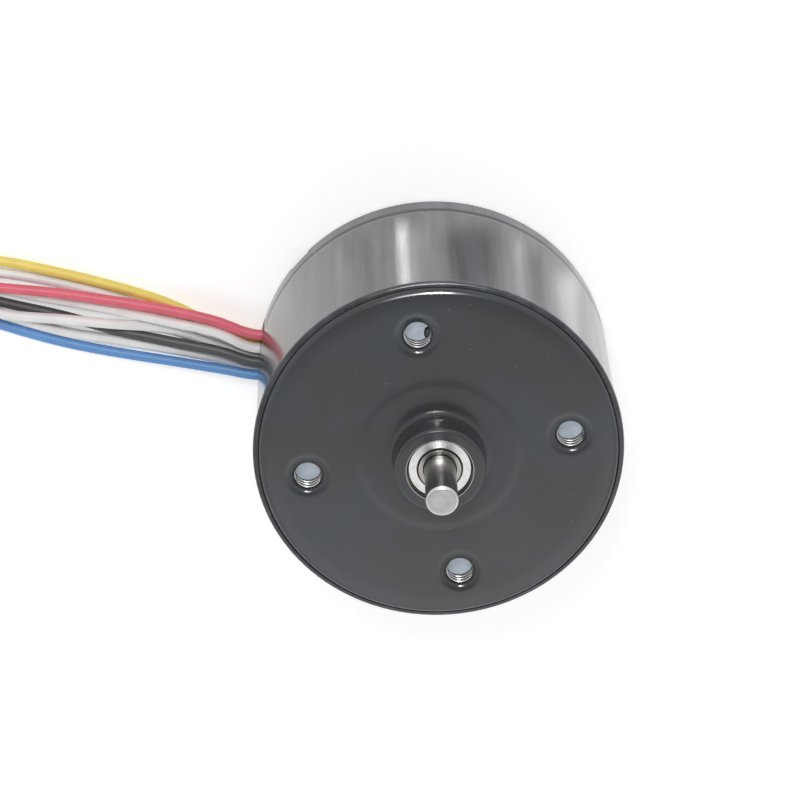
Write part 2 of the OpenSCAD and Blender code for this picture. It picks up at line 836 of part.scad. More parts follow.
module at_ways() {
    for (i = [0 : lead_n - 1])
        translate([0, ((lead_n - 1) / 2 - i) * way_pitch, plug_z])
            children();
}

module plug_housing() {
    cavity = contact_w + 2 * contact_gap;
    color("#efece2")
        plug_place()
            difference() {
                union() {
                    translate([0, -plug[1] / 2, 0])
                        cube(plug);
                    for (side = [-1, 1])
                        translate([0, side * plug[1] / 4 - rib_w / 2, plug[2] - rib_h])
                            cube([plug[0], rib_w, 2 * rib_h]);
                }
                at_ways() {
                    rotate([0, 90, 0])
                        translate([0, 0, -over])
                            cylinder(r = wire_r + wire_fit, h = plug_bore_deep + over, $fn = 32);
                    translate([0, -cavity / 2, -cavity / 2])
                        cube([plug[0] + over, cavity, cavity]);
                }
            }
}

module plug_contacts() {
    color("#d9c27a")
        plug_place()
            at_ways()
                translate([plug_bore_deep, -contact_w / 2, -contact_w / 2])
                    cube([contact_l, contact_w, contact_w]);
}

// Flat band round both turns of the coil
module coil_tie() {
    outer = coil_middle(tie_turn_share);
    inner = coil_middle(1 + tie_turn_share);
    reach = bundle_r + wire_r + tie_slack;
    span = norm(outer - inner);
    lean = atan2(inner[2] - outer[2], norm([outer[0] - inner[0], outer[1] - inner[1]]));
    color("#2b2b2d")
        translate(outer)
            rotate(coil_start + 360 * tie_turn_share + 180)
                rotate([90, -lean, 0])
                    translate([0, 0, -tie_w / 2])
                        linear_extrude(tie_w)
                            difference() {
                                stadium(span, reach + tie_t);
                                stadium(span, reach);
                            }
}

module stadium(span, r) {
    circle(r = r, $fn = 48);
    translate([span, 0])
        circle(r = r, $fn = 48);
    translate([0, -r])
        square([span, 2 * r]);
}

module free_lead(lead, route) {
    tube(free_path(lead, route), wire_r, 8);
}

module coiled_lead(lead) {
    tube(coil_path(lead), wire_r, 6);
}

module tail_lead(lead) {
    tube(tail_path(lead), wire_r, 8);
}

module yellow_wire() {
    color("#f2d037")
        free_lead(yellow, yellow_route);
}

module red_wire() {
    color("#d8284a")
        free_lead(red, red_route);
}

module black_wire() {
    color("#2a2a2c")
        free_lead(black, black_route);
}

module blue_wire() {
    color("#2f6fb5")
        free_lead(blue, blue_route);
}

module white_wires() {
    color("#f0efec")
        for (i = [0 : len(whites) - 1])
            free_lead(whites[i], white_routes[i]);
}

module yellow_coil() {
    color("#f2d037")
        coiled_lead(yellow);
}

module red_coil() {
    color("#d8284a")
        coiled_lead(red);
}

module black_coil() {
    color("#2a2a2c")
        coiled_lead(black);
}

module blue_coil() {
    color("#2f6fb5")
        coiled_lead(blue);
}

module white_coils() {
    color("#f0efec")
        for (lead = whites)
            coiled_lead(lead);
}

module yellow_tail() {
    color("#f2d037")
        tail_lead(yellow);
}

module red_tail() {
    color("#d8284a")
        tail_lead(red);
}

module black_tail() {
    color("#2a2a2c")
        tail_lead(black);
}

module blue_tail() {
    color("#2f6fb5")
        tail_lead(blue);
}

module white_tails() {
    color("#f0efec")
        for (lead = whites)
            tail_lead(lead);
}

module front_bearing_outer_ring() {
    color("#dcdee0")
        front_place()
            outer_ring();
}

module front_bearing_shields() {
    color("#c3c6c9")
        front_place()
            shields();
}

module front_bearing_inner_ring() {
    color("#dcdee0")
        front_place()
            inner_ring();
}

module front_bearing_balls() {
    color("#e6e7e8")
        front_place()
            balls();
}

module front_bearing_cage() {
    color("#b08d4f")
        front_place()
            cage();
}

module rear_bearing_outer_ring() {
    color("#dcdee0")
        rear_place()
            outer_ring();
}

module rear_bearing_shields() {
    color("#c3c6c9")
        rear_place()
            shields();
}

module rear_bearing_inner_ring() {
    color("#dcdee0")
        rear_place()
            inner_ring();
}

module rear_bearing_balls() {
    color("#e6e7e8")
        rear_place()
            balls();
}

module rear_bearing_cage() {
    color("#b08d4f")
        rear_place()
            cage();
}

front_cover();
motor_can();
rear_cover();
front_insulator();
rear_insulator();
stator_core();
front_bobbin();
rear_bobbin();
stator_windings();
circuit_board();
hall_sensors();
board_chips();
wire_grommet();
lead_pins();
winding_pins();
solder_joints();
wave_washer();
front_bearing_outer_ring();
front_bearing_shields();
front_bearing_inner_ring();
front_bearing_balls();
front_bearing_cage();
rear_bearing_outer_ring();
rear_bearing_shields();
rear_bearing_inner_ring();
rear_bearing_balls();
rear_bearing_cage();
rotor_shaft();
rotor_core();
rotor_magnet();
front_spacer();
rear_spacer();
yellow_wire();
red_wire();
black_wire();
blue_wire();
white_wires();
yellow_coil();
red_coil();
black_coil();
blue_coil();
white_coils();
yellow_tail();
red_tail();
black_tail();
blue_tail();
white_tails();
plug_housing();
plug_contacts();
coil_tie();
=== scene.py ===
"""Looks of a micro brushless motor with its eight leads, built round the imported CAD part.

Metres, in the part's own frame: the shaft points up +Z and the motor stands at z = 0.
"""

import math

import bmesh
import bpy
from bpy.props import FloatProperty, FloatVectorProperty, IntProperty, PointerProperty
from bpy.types import Operator, Panel, PropertyGroup
from mathutils import Matrix, Vector


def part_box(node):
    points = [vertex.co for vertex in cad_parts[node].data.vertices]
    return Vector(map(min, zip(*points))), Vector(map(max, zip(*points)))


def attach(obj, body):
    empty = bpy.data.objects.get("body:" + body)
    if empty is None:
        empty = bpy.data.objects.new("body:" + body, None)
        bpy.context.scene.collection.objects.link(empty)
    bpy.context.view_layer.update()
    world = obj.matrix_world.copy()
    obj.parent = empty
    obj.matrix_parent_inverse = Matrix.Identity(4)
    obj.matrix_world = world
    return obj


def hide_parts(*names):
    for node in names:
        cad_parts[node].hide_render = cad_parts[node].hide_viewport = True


bl_info = {
    "name": "Micro brushless motor",
    "version": (1, 0, 0),
    "blender": (4, 5, 0),
    "location": "View3D > Sidebar > Motor",
    "description": "Dresses the motor's CAD frame with threads, leads, plug and finishes",
    "category": "Object",
}

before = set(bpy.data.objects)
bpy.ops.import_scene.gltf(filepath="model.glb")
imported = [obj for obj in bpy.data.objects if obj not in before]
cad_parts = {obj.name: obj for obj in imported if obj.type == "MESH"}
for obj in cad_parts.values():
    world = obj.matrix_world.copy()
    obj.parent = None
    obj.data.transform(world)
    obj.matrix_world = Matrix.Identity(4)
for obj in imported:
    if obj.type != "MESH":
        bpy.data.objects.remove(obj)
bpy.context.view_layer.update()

HOUSING = "housing"
MICRON = 1e-6

# Heights of the front cover's face, which stands a step over the can, and of the film under it
FACE_STEP = 0.0005
FACE_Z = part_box("motor_can")[1].z + FACE_STEP
FILM_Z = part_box("front_insulator")[1].z

# Routes of the leads over the table, from the grommet to the coil
ROUTES = {
    "yellow": [(-0.020, 0.0077, 0.00075), (-0.025, 0.0112, 0.00055), (-0.030, 0.0139, 0.00055),
               (-0.035, 0.0162, 0.00055), (-0.040, 0.0182, 0.0006), (-0.045, 0.0194, 0.0008),
               (-0.050, 0.0205, 0.0014)],
    "red": [(-0.020, 0.0087, 0.0019), (-0.025, 0.0109, 0.0018), (-0.030, 0.0127, 0.00175),
            (-0.035, 0.0144, 0.0018), (-0.040, 0.0159, 0.0020), (-0.045, 0.0176, 0.0025),
            (-0.050, 0.0191, 0.0032)],
    "black": [(-0.020, 0.0053, 0.0018), (-0.025, 0.0071, 0.0012), (-0.030, 0.0089, 0.0006),
              (-0.035, 0.0114, 0.00055), (-0.040, 0.0137, 0.0008), (-0.045, 0.0163, 0.0012),
              (-0.050, 0.0190, 0.0019)],
    "blue": [(-0.020, 0.0033, 0.0017), (-0.025, 0.0049, 0.0012), (-0.030, 0.0065, 0.0008),
             (-0.035, 0.0084, 0.0006), (-0.040, 0.0109, 0.0006), (-0.045, 0.0140, 0.0009),
             (-0.050, 0.0173, 0.0015)],
    "white_a": [(-0.020, 0.0074, 0.0019), (-0.025, 0.0095, 0.0016), (-0.030, 0.0113, 0.0009),
                (-0.035, 0.0131, 0.0006), (-0.040, 0.0151, 0.0006), (-0.045, 0.0174, 0.0006),
                (-0.050, 0.0196, 0.00075)],
    "white_b": [(-0.020, 0.0052, 0.00065), (-0.025, 0.0082, 0.00065), (-0.030, 0.0100, 0.0015),
                (-0.035, 0.0115, 0.0017), (-0.040, 0.0130, 0.0020), (-0.045, 0.0154, 0.0022),
                (-0.050, 0.0179, 0.0027)],
    "white_c": [(-0.020, 0.0039, 0.0007), (-0.025, 0.0059, 0.00055), (-0.030, 0.0078, 0.00055),
                (-0.035, 0.0096, 0.00055), (-0.040, 0.0122, 0.00055), (-0.045, 0.0152, 0.0006),
                (-0.050, 0.0182, 0.00075)],
    "white_d": [(-0.020, 0.0064, 0.00065), (-0.025, 0.0098, 0.00055), (-0.030, 0.0127, 0.00055),
                (-0.035, 0.0150, 0.00055), (-0.040, 0.0170, 0.0008), (-0.045, 0.0185, 0.0015),
                (-0.050, 0.0201, 0.0026)],
}
# Column and row in the grommet, place round the bundle (None is its core), way in the plug
LEADS = {
    "yellow": (0, 0, -2, 7),
    "red": (0, 1, 0, 4),
    "black": (2, 1, None, 3),
    "blue": (3, 1, 2, 0),
    "white_a": (1, 1, -3, 5),
    "white_b": (2, 0, 1, 1),
    "white_c": (3, 0, 3, 2),
    "white_d": (1, 0, -1, 6),
}


# Route of a lead, as in the part's source

CAN_R = 0.0172
WIRE_R = 0.0005
EXIT_ANGLE = 165
GROMMET_DEPTH = 0.0015
WIRE_STRAIGHT = 0.0004
ROW_N = 4
ROW_TOP_PITCH = 0.00145
ROW_TOP_Z = 0.0019
ROW_LOW_PITCH = 0.0011
ROW_LOW_SHIFT = 0.00025
ROW_LOW_Z = 0.0008
COIL_CENTRE = Vector((-0.058, 0.013, 0))
COIL_Z = 0.00225
COIL_R = 0.0088
COIL_STEP = 0.00395
COIL_RISE = 0.0045
COIL_START = 67
COIL_TURNS = 2.25
COIL_RINGS = 24
COIL_IN_SHARE = 0.5
COIL_UP_SHARE = 1.25
COIL_RISE_SHARE = 0.7
TWIST_EASE_SHARE = 0.25
TINY_SHARE = 0.01
ROUND_N = 7
ROUND_PITCH = 0.00122
BUNDLE_R = ROUND_PITCH / 2 / math.sin(math.pi / ROUND_N)
LEAD_IN = 0.0012
PLUG_AWAY = 0.018
PLUG_Z = 0.0017
WAY_PITCH = 0.00125
BORE_DEPTH = 0.0016
# Tails: way along to the plug, share of the fan, how far they sink, share of the bundle's height
TAILS = ((0.005, 0.1, 0, 1), (0.010, 0.55, 0.0015, 0.9),
         (0.015, 1, 0.0045, 0.3), (0.017, 1, 0.00505, 0))
SPAN_STEPS = 3


def bearing(angle):
    """Level direction at an angle in degrees."""
    return Vector((math.cos(math.radians(angle)), math.sin(math.radians(angle)), 0))


def smooth(x):
    """0 up to 0, 1 from 1 on, and smooth between them."""
    k = min(max(x, 0), 1)
    return k * k * (3 - 2 * k)


# Directions in which the leads enter and leave the coil
IN_RUN = bearing(COIL_START + 90)
OUT_ANGLE = COIL_START + 360 * COIL_TURNS
OUT_RUN = bearing(OUT_ANGLE + 90)


def slot_point(lead, reach):
    """Place of a lead in the grommet, reach from the motor's axis."""
    column, row, _, _ = LEADS[lead]
    middle = (ROW_N - 1) / 2
    if row:
        side, height = (column - middle) * ROW_TOP_PITCH, ROW_TOP_Z
    else:
        side, height = (column - middle) * ROW_LOW_PITCH + ROW_LOW_SHIFT, ROW_LOW_Z
    return reach * bearing(EXIT_ANGLE) + side * bearing(EXIT_ANGLE + 90) + Vector((0, 0, height))


def coil_middle(turn):
    """Middle of the bundle after so many turns, where the second turn climbs onto the first."""
    radius = COIL_R - COIL_STEP * smooth((turn - COIL_IN_SHARE) / (1 - COIL_IN_SHARE))
    rise = COIL_RISE * smooth((turn - COIL_UP_SHARE) / COIL_RISE_SHARE)
    return COIL_CENTRE + radius * bearing(COIL_START + 360 * turn) + Vector((0, 0, COIL_Z + rise))


def twist(turn):
    """Degrees that the bundle has twisted after so many turns, eased at both ends."""
    if turn < TWIST_EASE_SHARE:
        return 180 * turn * turn / TWIST_EASE_SHARE
    if turn > COIL_TURNS - TWIST_EASE_SHARE:
        full = 360 * (COIL_TURNS - TWIST_EASE_SHARE)
        return full - 180 * (COIL_TURNS - turn) ** 2 / TWIST_EASE_SHARE
    return 360 * (turn - TWIST_EASE_SHARE / 2)


def coil_point(lead, turn):
    """Place of a lead in the twisted bundle after so many turns of the coil."""
    place = LEADS[lead][2]
    if place is None:
        return coil_middle(turn)
    outward = bearing(COIL_START + 360 * turn)
    run = (coil_middle(turn + TINY_SHARE) - coil_middle(turn)).normalized()
    upward = outward.cross(run).normalized()
    angle = math.radians(90 + 360 / ROUND_N * place + twist(turn))
    return coil_middle(turn) + BUNDLE_R * (math.cos(angle) * outward + math.sin(angle) * upward)


def free_points(lead):
    """Points of a lead from inside the grommet, over the table, to the coil."""
    straight = (CAN_R - GROMMET_DEPTH, CAN_R, CAN_R + WIRE_STRAIGHT)
    start = coil_point(lead, 0)
    return ([slot_point(lead, reach) for reach in straight] + [Vector(p) for p in ROUTES[lead]]
            + [start - 2 * LEAD_IN * IN_RUN, start - LEAD_IN * IN_RUN])


def tail_points(lead):
    """Points of a lead from the coil, fanned out, to its way in the plug."""
    end = coil_point(lead, COIL_TURNS)
    lift = end.z - COIL_Z - COIL_RISE
    plug = COIL_CENTRE + (COIL_R - COIL_STEP) * bearing(OUT_ANGLE) + PLUG_AWAY * OUT_RUN
    side = (LEADS[lead][3] - (len(LEADS) - 1) / 2) * WAY_PITCH
    way = plug + side * bearing(OUT_ANGLE) + Vector((0, 0, PLUG_Z))
    points = [end + LEAD_IN * OUT_RUN]
    for away, fan, sunk, keep in TAILS:
        point = (1 - fan) * (end + away * OUT_RUN) + fan * (way + (away - PLUG_AWAY) * OUT_RUN)
        point.z = max(PLUG_Z, COIL_Z + COIL_RISE - sunk) + keep * lift
        points.append(point)
    return points + [way + BORE_DEPTH * OUT_RUN]


def curve_through(points):
    """Points of a smooth curve through the given ones."""
    spans = [(b - a).length for a, b in zip(points, points[1:])]
    slopes = [(points[1] - points[0]) / spans[0]]
    for i in range(1, len(points) - 1):
        a, b = spans[i - 1], spans[i]
        before, after = points[i] - points[i - 1], points[i + 1] - points[i]
        slopes.append((b / a * before + a / b * after) / (a + b))
    slopes.append((points[-1] - points[-2]) / spans[-1])
    line = []
    for i, d in enumerate(spans):
        for k in range(SPAN_STEPS):
            s = k / SPAN_STEPS
            line.append((1 + 2 * s) * (1 - s) ** 2 * points[i]
                        + s * (1 - s) ** 2 * d * slopes[i]
                        + s * s * (3 - 2 * s) * points[i + 1]
                        + s * s * (s - 1) * d * slopes[i + 1])
    return line + [points[-1]]


def lead_line(lead):
    """A whole lead: out of the grommet, over the table, round the coil and into the plug."""
    turns = [i / COIL_RINGS for i in range(int(COIL_TURNS * COIL_RINGS) + 1)]
    coil = [coil_point(lead, turn) for turn in turns]
    return curve_through(free_points(lead)) + coil + curve_through(tail_points(lead))


# Light of the stage

# Walls that mirror low strips: radius, how far from it a strip starts and ends, height of the strip
CAN_WALL = (CAN_R, 0.0012, 0.0098, 0.0003)
BOSS_WALL = (0.0043, 0.0003, 0.0010, FACE_Z + 0.00025)
# Strips that only those walls show: wall, bearing in degrees, width, brightness
STRIPS = (
    (CAN_WALL, 69, 0.0125, 0.44),
    (CAN_WALL, 89.5, 0.0070, 1.75),
    (CAN_WALL, 91, 0.0024, 5.6),
    (CAN_WALL, 103, 0.0030, 0.75),
    (CAN_WALL, 113, 0.0022, 1.25),
    (CAN_WALL, 52.5, 0.0016, 1.8),
    (CAN_WALL, 46, 0.0030, 0.6),
    (CAN_WALL, 33, 0.0060, 1.7),
    (BOSS_WALL, 84, 0.0009, 1.9),
)
# A strip fades in between these shares of its gap, and out between these shares of its width
STRIP_START = (0.8, 3.3)
STRIP_SIDE = (0.12, 0.5)

FLOOR_HALF = 3.0
FLOOR_DROP = 20 * MICRON
FLOOR_COLOUR = (0.82, 0.82, 0.82)
FLOOR_GLOW = 0.46
LIT_POINT = Vector((0, 0, 0.015))
LAMP_DISTANCE = 0.45

# The studio's light is weaker overhead and stronger behind the motor: middle of each, and its edges
OVERHEAD = (0.0, 0.12, 0.9928)
OVERHEAD_EDGES = (0.70, 0.99)
BEHIND = (0.0, -0.62, 0.7846)
BEHIND_EDGES = (0.82, 0.97)


# Shader values and nodes

# Sockets of a Mix node that mixes colours
MIX_SHARE, MIX_FIRST, MIX_SECOND, MIX_RESULT = 0, 6, 7, 2


class Signal:
    """A shader value. Arithmetic on it adds Math nodes to its tree."""

    def __init__(self, shading, socket):
        self.shading = shading
        self.socket = socket

    def __add__(self, other):
        return self.shading.maths("ADD", self, other)

    def __sub__(self, other):
        return self.shading.maths("SUBTRACT", self, other)

    def __rsub__(self, other):
        return self.shading.maths("SUBTRACT", other, self)

    def __mul__(self, other):
        return self.shading.maths("MULTIPLY", self, other)

    def __truediv__(self, other):
        return self.shading.maths("DIVIDE", self, other)

    def __pow__(self, other):
        return self.shading.maths("POWER", self, other)

    def __abs__(self):
        return self.shading.maths("ABSOLUTE", self)

    __radd__ = __add__
    __rmul__ = __mul__

    def clamped(self):
        """Kept from 0 to 1."""
        return self.shading.smaller(self.shading.larger(self, 0.0), 1.0)

    def between(self, low, high):
        """0 below low, 1 above high, and smooth from one to the other."""
        return self.shading.add("ShaderNodeMapRange", {"interpolation_type": "SMOOTHSTEP"},
                                {"Value": self, "From Min": low, "From Max": high})


class Shading:
    """A tree of shader nodes."""

    def __init__(self, tree):
        self.tree = tree
        self.tree.nodes.clear()

    def set(self, node, socket, value):
        """Links a signal to the socket, or gives the socket its own value."""
        target = node.inputs[socket]
        if isinstance(value, Signal):
            self.tree.links.new(value.socket, target)
        elif target.type == "RGBA" and len(value) == 3:
            target.default_value = (*value, 1)
        else:
            target.default_value = value

    def node(self, kind, settings=None, sockets=None):
        """A node of that kind: its settings first, then its sockets' values or links."""
        node = self.tree.nodes.new(kind)
        for name, value in (settings or {}).items():
            setattr(node, name, value)
        for socket, value in (sockets or {}).items():
            self.set(node, socket, value)
        return node

    def add(self, kind, settings=None, sockets=None, output=0):
        """What a new node gives at one of its outputs."""
        return Signal(self, self.node(kind, settings, sockets).outputs[output])

    def maths(self, operation, *values):
        return self.add("ShaderNodeMath", {"operation": operation}, dict(enumerate(values)))

    def larger(self, first, second):
        return self.maths("MAXIMUM", first, second)

    def smaller(self, first, second):
        return self.maths("MINIMUM", first, second)

    def vector(self, operation, *values, output="Vector"):
        return self.add("ShaderNodeVectorMath", {"operation": operation},
                        dict(enumerate(values)), output)

    def dot(self, first, second):
        return self.vector("DOT_PRODUCT", first, second, output="Value")

    def mix(self, share, first, second):
        return self.add("ShaderNodeMix", {"data_type": "RGBA", "clamp_factor": True},
                        {MIX_SHARE: share, MIX_FIRST: first, MIX_SECOND: second}, MIX_RESULT)


class Finish(Shading):
    """One material, its shader and the nodes that feed it."""

    def __init__(self, name, surface):
        self.material = bpy.data.materials.new(name)
        self.material.use_nodes = True
        super().__init__(self.material.node_tree)
        self.shader = self.node("ShaderNodeBsdfPrincipled", None, surface)
        self.surface = Signal(self, self.shader.outputs["BSDF"])
        self.output = self.node("ShaderNodeOutputMaterial", None, {"Surface": self.surface})
        self._place = None

    @property
    def place(self):
        """Place on the piece, in metres."""
        if self._place is None:
            self._place = self.add("ShaderNodeTexCoord", output="Object")
        return self._place

    def noise(self, scale, detail=3, roughness=0.5, along=None):
        """Noise over the piece, denser along x, y and z by the factors of along."""
        place = self.vector("MULTIPLY", self.place, along) if along else self.place
        return self.add("ShaderNodeTexNoise", None, {"Vector": place, "Scale": scale,
                                                    "Detail": detail, "Roughness": roughness})

    def parts(self):
        """The place's x, y and z as values."""
        split = self.node("ShaderNodeSeparateXYZ", None, {"Vector": self.place})
        return [Signal(self, output) for output in split.outputs]

    def reach(self):
        """Distance from the shaft's axis."""
        flat = self.vector("MULTIPLY", self.place, (1, 1, 0))
        return self.vector("LENGTH", flat, output="Value")

    def colour(self, share, first, second):
        """Base colour that goes from the first to the second with share."""
        self.set(self.shader, "Base Color", self.mix(share, first, second))

    def rough(self, value):
        self.set(self.shader, "Roughness", value)

    def bump(self, height):
        """Raises the surface by height, in metres, and gives the finish back."""
        relief = self.add("ShaderNodeBump", None,
                          {"Strength": 1.0, "Distance": 1.0, "Height": height})
        self.set(self.shader, "Normal", relief)
        return self


# Finishes

# Front cover: radii of its pad's foot, and where its rim starts to fall off and ends
PAD_FOOT = (0.0070, 0.0080)
PAD_STEP = 70 * MICRON
RIM_START = 0.0148
RIM_END = 0.0163
# How fast its face and its rim fall off, over the square of the distance
DOME_FALL = 1.1
RIM_FALL = 30
# How deep its screw collars are drawn in, as a share of a hole's radius
COLLAR_SHARE = 0.5
# Where the coat ends outside the opening, the steel there, and the tints of the coat's clouds
BARE_EDGES = (20 * MICRON, 60 * MICRON)
BARE_STEEL = (0.62, 0.61, 0.60)
WARM = (1.02, 0.94, 0.87)
COOL = (0.98, 1.06, 1.13)
# Can: heights between which its lip begins, and half widths of the seam's shallow groove and its
# painted shade
LIP_START = (0.0202, 0.0206)
SEAM_EDGES = (120 * MICRON, 620 * MICRON)
# Shaft: heights over its tip where the faced end, the line and the bevel begin, which bound the
# painted shade on the end, in the line and on the side
TIP_FACE = (-60 * MICRON, -20 * MICRON)
TIP_LINE = (-100 * MICRON, -50 * MICRON)
TIP_SIDE = (-300 * MICRON, -220 * MICRON)
TIP_LINE_EDGES = (10 * MICRON, 60 * MICRON)
TIP_BEVEL = 0.00024
# Bearing: inner and outer radius of the turned faces, outside which painted shade darkens the gaps
INNER_RING_FACE = (0.00159, 0.00199)
SHIELD_FACE = (0.00219, 0.0029)
FACE_EDGE_OUT = 40 * MICRON
FACE_EDGE_IN = 20 * MICRON
# Windings: from one turn of the wire to the next
WINDING_PITCH = 260 * MICRON


def tinted(colour, factors):
    return tuple(c * k for c, k in zip(colour, factors))


def shade(colour, factor):
    return tuple(min(1.0, c * factor) for c in colour)


def orange_peel(finish):
    """Fine noise of a baked coat, and the relief of its orange peel."""
    fine = finish.noise(9000, detail=2, roughness=0.6)
    peel = finish.noise(2600, detail=2)
    return fine, (peel + fine * 0.35) * (2.2 * MICRON)


def cover_coat(name, colour, gloss, circle, hole, opening):
    """Dark baked coat of the front cover, with faint clouds and a few light specks.

    It is drawn in round the four holes, falls off to the rim and is worn bare in the opening.
    """
    finish = Finish(name, {"IOR": 1.5})
    fine, peel = orange_peel(finish)
    cloud = finish.noise(130, detail=3, roughness=0.55)
    speck = finish.noise(2900, detail=1, roughness=0.4).between(0.80, 0.83)
    tone = finish.mix(cloud.between(0.36, 0.64), tinted(colour, WARM), tinted(colour, COOL))
    flecked = finish.mix(speck, tone, shade(colour, 2.6))
    reach = finish.reach()
    bare = 1 - reach.between(opening + BARE_EDGES[0], opening + BARE_EDGES[1])
    finish.colour(bare, flecked, BARE_STEEL)
    finish.set(finish.shader, "Metallic", bare)
    finish.rough(gloss + cloud * 0.08 + fine * 0.10 - 0.09)

    rim = finish.larger(finish.smaller(reach, RIM_END) - RIM_START, 0.0)
    dome = reach * reach * DOME_FALL + rim * rim * RIM_FALL
    wave = finish.noise(95, detail=2) * (30 * MICRON) + reach.between(*PAD_FOOT) * PAD_STEP
    x, y, _ = finish.parts()
    x, y = abs(x), abs(y)
    far, near = finish.larger(x, y) - circle / 2, finish.smaller(x, y)
    away = (far * far + near * near) ** 0.5
    collar = 1 - ((away - hole) / hole).clamped()
    return finish.bump(peel + wave - dome - collar * collar * collar * (hole * COLLAR_SHARE))


def can_coat(name, colour, gloss, seam):
    """Coat of the drawn can: upright streaks with painted reflection bands, grit in them, and
    painted shade at the rear band's seam.
    """
    finish = Finish(name, {"IOR": 1.5, "Coat IOR": 1.9, "Coat Roughness": gloss * 0.85})
    _, peel = orange_peel(finish)
    _, _, z = finish.parts()
    broad = finish.noise(330, detail=3, roughness=0.6, along=(1, 1, 0.03)).between(0.38, 0.66)
    thin = finish.noise(1500, detail=4, roughness=0.75, along=(1, 1, 0.05)).between(0.35, 0.75)
    grit = finish.noise(3200, detail=3, roughness=0.75)
    patch = finish.noise(65, detail=2).between(0.45, 0.62)
    lip = z.between(*LIP_START)
    # Painted shade: a soft near-black band over a shallow groove at the seam between the can and
    # the rear band.
    seam_groove_shade = 1 - abs(z - seam).between(*SEAM_EDGES)
    # Painted reflection bands: the upright streaks swing the base colour from 0.45 to 1.55 of the
    # coat; they also vary the coat and roughness.
    worn = broad * 0.6 + thin * 0.4
    lit = finish.mix(worn, shade(colour, 0.45), shade(colour, 1.55))
    coat = 0.38 + (broad * 0.5 + thin * 0.4 - 0.42) * (patch * 0.40 + 0.08)
    finish.set(finish.shader, "Coat Weight", coat * (1 - seam_groove_shade) * (1 - lip * 0.6))
    finish.colour(seam_groove_shade * 0.85, lit, shade(colour, 0.1))
    finish.rough(gloss + worn * 0.12 + grit * 0.14 + lip * 0.12 - 0.10)
    return finish.bump(peel * 1.5 + thin * (8 * MICRON) + grit * (7.5 * MICRON)
                       - seam_groove_shade * (40 * MICRON))


def ground_steel(name, colour, gloss, tip, radius):
    """Ground shaft: marks that run round it and stains, with painted shade on its faced end, on its
    side and in a line at its bevel.
    """
    finish = Finish(name, {"Metallic": 1.0})
    _, _, z = finish.parts()
    bloom = finish.noise(900, detail=3, roughness=0.6)
    stain = finish.noise(2600, detail=4, roughness=0.7).between(0.56, 0.70)
    marks = finish.noise(1, detail=2, roughness=0.6, along=(120, 120, 30000))
    # Painted shade: a dark line round the bevel, a dimmer faced end and a darker side below the
    # bevel; the stains are real.
    ring = 1 - abs(finish.reach() - radius).between(*TIP_LINE_EDGES)
    line = ring * (z - tip).between(*TIP_LINE)
    face = (z - tip).between(*TIP_FACE)
    side = 1 - (z - tip).between(*TIP_SIDE)
    worn = finish.mix(bloom.between(0.25, 0.75), shade(colour, 0.80), shade(colour, 1.04))
    stain_and_shade = finish.larger(finish.larger(line * 0.65, stain * 0.50),
                         finish.larger(face * 0.42, side * 0.68))
    finish.colour(stain_and_shade, worn, shade(colour, 0.30))
    finish.rough(gloss + bloom * 0.12 + stain * 0.15 - 0.07)
    return finish.bump(marks * (0.8 * MICRON) - line * (6 * MICRON))


def faced_steel(name, colour, gloss, low, high):
    """Turned end face: rings round the axis, a few darker stains, and painted shade outside the
    given radii.
    """
    finish = Finish(name, {"Metallic": 1.0})
    reach = finish.reach()
    # Painted shade: dark outside the face's radii, for the gaps between the rings, the shield and
    # the shaft.
    gap_shade = finish.larger(1 - reach.between(low - FACE_EDGE_OUT, low + FACE_EDGE_IN),
                         reach.between(high - FACE_EDGE_IN, high + FACE_EDGE_OUT))
    rings = finish.add("ShaderNodeTexNoise", {"noise_dimensions": "1D"},
                       {"W": reach * 24000, "Scale": 1.0, "Detail": 2.0})
    stain = finish.noise(1600, detail=4, roughness=0.65)
    worn = finish.mix(stain.between(0.45, 0.75), colour, shade(colour, 0.84))
    finish.colour(gap_shade, worn, shade(colour, 0.10))
    finish.rough(gloss + stain * 0.12 + gap_shade * 0.2 - 0.05)
    return finish.bump(rings * (0.7 * MICRON))


def insulation(name, colour):
    """Flexible lead insulation: satin, with a slow change of tone and fine drag marks."""
    finish = Finish(name, {"IOR": 1.47})
    tone = finish.noise(330, detail=3, roughness=0.6)
    drag = finish.noise(5200, detail=2, roughness=0.55)
    finish.colour(tone.between(0.3, 0.7), shade(colour, 0.93), shade(colour, 1.05))
    finish.rough(0.42 + tone * 0.12 + drag * 0.06)
    return finish.bump(drag * (3.5 * MICRON))


def moulding(name, colour, gloss=0.42, grain=2200, relief=3 * MICRON):
    """Moulded plastic with a fine grain."""
    finish = Finish(name, {"IOR": 1.5})
    tone = finish.noise(240, detail=3, roughness=0.55)
    fine = finish.noise(grain, detail=3, roughness=0.6)
    finish.colour(tone.between(0.3, 0.7), shade(colour, 0.93), shade(colour, 1.05))
    finish.rough(gloss - 0.06 + tone * 0.06 + fine * 0.08)
    return finish.bump(fine * relief)


def milky_film(name, colour, glow):
    """Milky film with a faint even glow in its own colour: painted light for the light that shines
    through it from behind.
    """
    finish = Finish(name, {"IOR": 1.5, "Emission Strength": glow})
    cloud = finish.noise(620, detail=4, roughness=0.6)
    fine = finish.noise(4200, detail=2)
    milk = finish.mix(cloud.between(0.3, 0.7), shade(colour, 0.86), shade(colour, 1.08))
    finish.set(finish.shader, "Base Color", milk)
    # Painted light: the film glows faintly in its own colour, standing for light that shines
    # through it.
    finish.set(finish.shader, "Emission Color", milk)
    finish.rough(0.26 + cloud * 0.14)
    return finish.bump(fine * (3 * MICRON))


